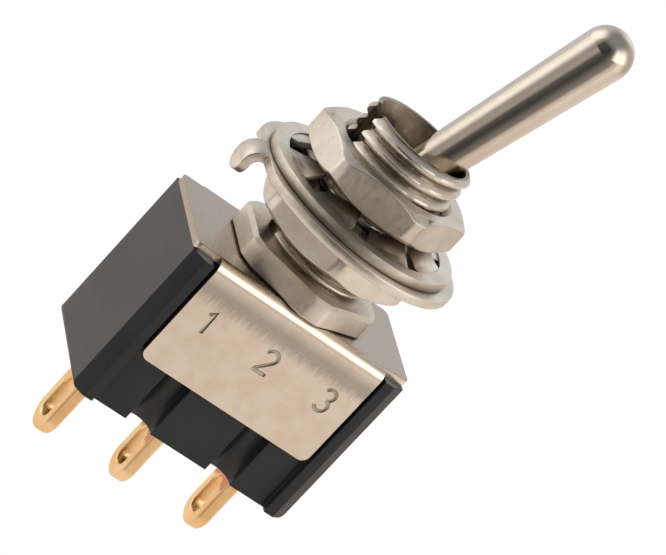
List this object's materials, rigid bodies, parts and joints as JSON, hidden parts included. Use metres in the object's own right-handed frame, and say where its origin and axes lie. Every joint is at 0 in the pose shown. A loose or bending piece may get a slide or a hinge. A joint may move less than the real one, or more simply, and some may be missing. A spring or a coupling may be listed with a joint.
{
  "type": "miniature toggle switch",
  "caption": "Miniature toggle switch: leaning bat lever, threaded bushing with hex nuts, tabbed locating ring, toothed lock washer, metal frame, moulded housing and solder lugs.",
  "frame": {"origin": "on the threaded bushing's axis, in the upper face of the frame plate", "axes": "+Z along the bushing towards the lever's tip; +X along the row of lugs, towards the side the lever leans at rest; -Y towards the flap with the terminal numbers"},
  "size_m": [0.013, 0.012, 0.0327],
  "materials": {
    "housing": "dark grey moulded",
    "nickel_sheet": "nickel plated sheet, satin",
    "nickel": "nickel plated brass",
    "steel": "bright steel",
    "lever_plate": "polished plate",
    "nylon": "natural nylon",
    "rocker": "bare strip",
    "silver": "silver contact",
    "terminal": "gold flash over brass"
  },
  "bodies": {
    "body": {"housing": "housing", "frame": "nickel_sheet", "bushing": "nickel", "pivot_pin": "steel", "terminal_common": "terminal", "terminal_left": "terminal", "terminal_right": "terminal", "contact_left": "silver", "contact_right": "silver", "lower_nut": "nickel", "locating_ring": "nickel", "lock_washer": "nickel", "upper_nut": "nickel"},
    "lever": {"lever": "lever_plate", "plunger_spring": "steel"},
    "plunger": {"plunger": "nylon"},
    "rocker": {"rocker": "rocker", "pad_left": "silver", "pad_right": "silver"}
  },
  "joints": [
    {"name": "lever_tilt", "type": "hinge", "parent": "body", "child": "lever", "pos_m": [0, 0, 0.00462], "axis": [0, 1, 0], "range_deg": [-32.9, 0]},
    {"name": "rocker_tilt", "type": "hinge", "parent": "body", "child": "rocker", "pos_m": [0, 0, -0.0053], "axis": [0, 1, 0], "range_deg": [0, 16]},
    {"name": "plunger_slide", "type": "slide", "parent": "lever", "child": "plunger", "axis": [0.2832, 0, 0.9591], "range_m": [0, 0.0005], "stiffness_N_per_m": 300, "springref_m": -0.003, "deforming": ["plunger_spring"]}
  ],
  "couplings": [
    {"joint": "rocker_tilt", "follows": "lever_tilt", "ratio": -0.4863}
  ]
}
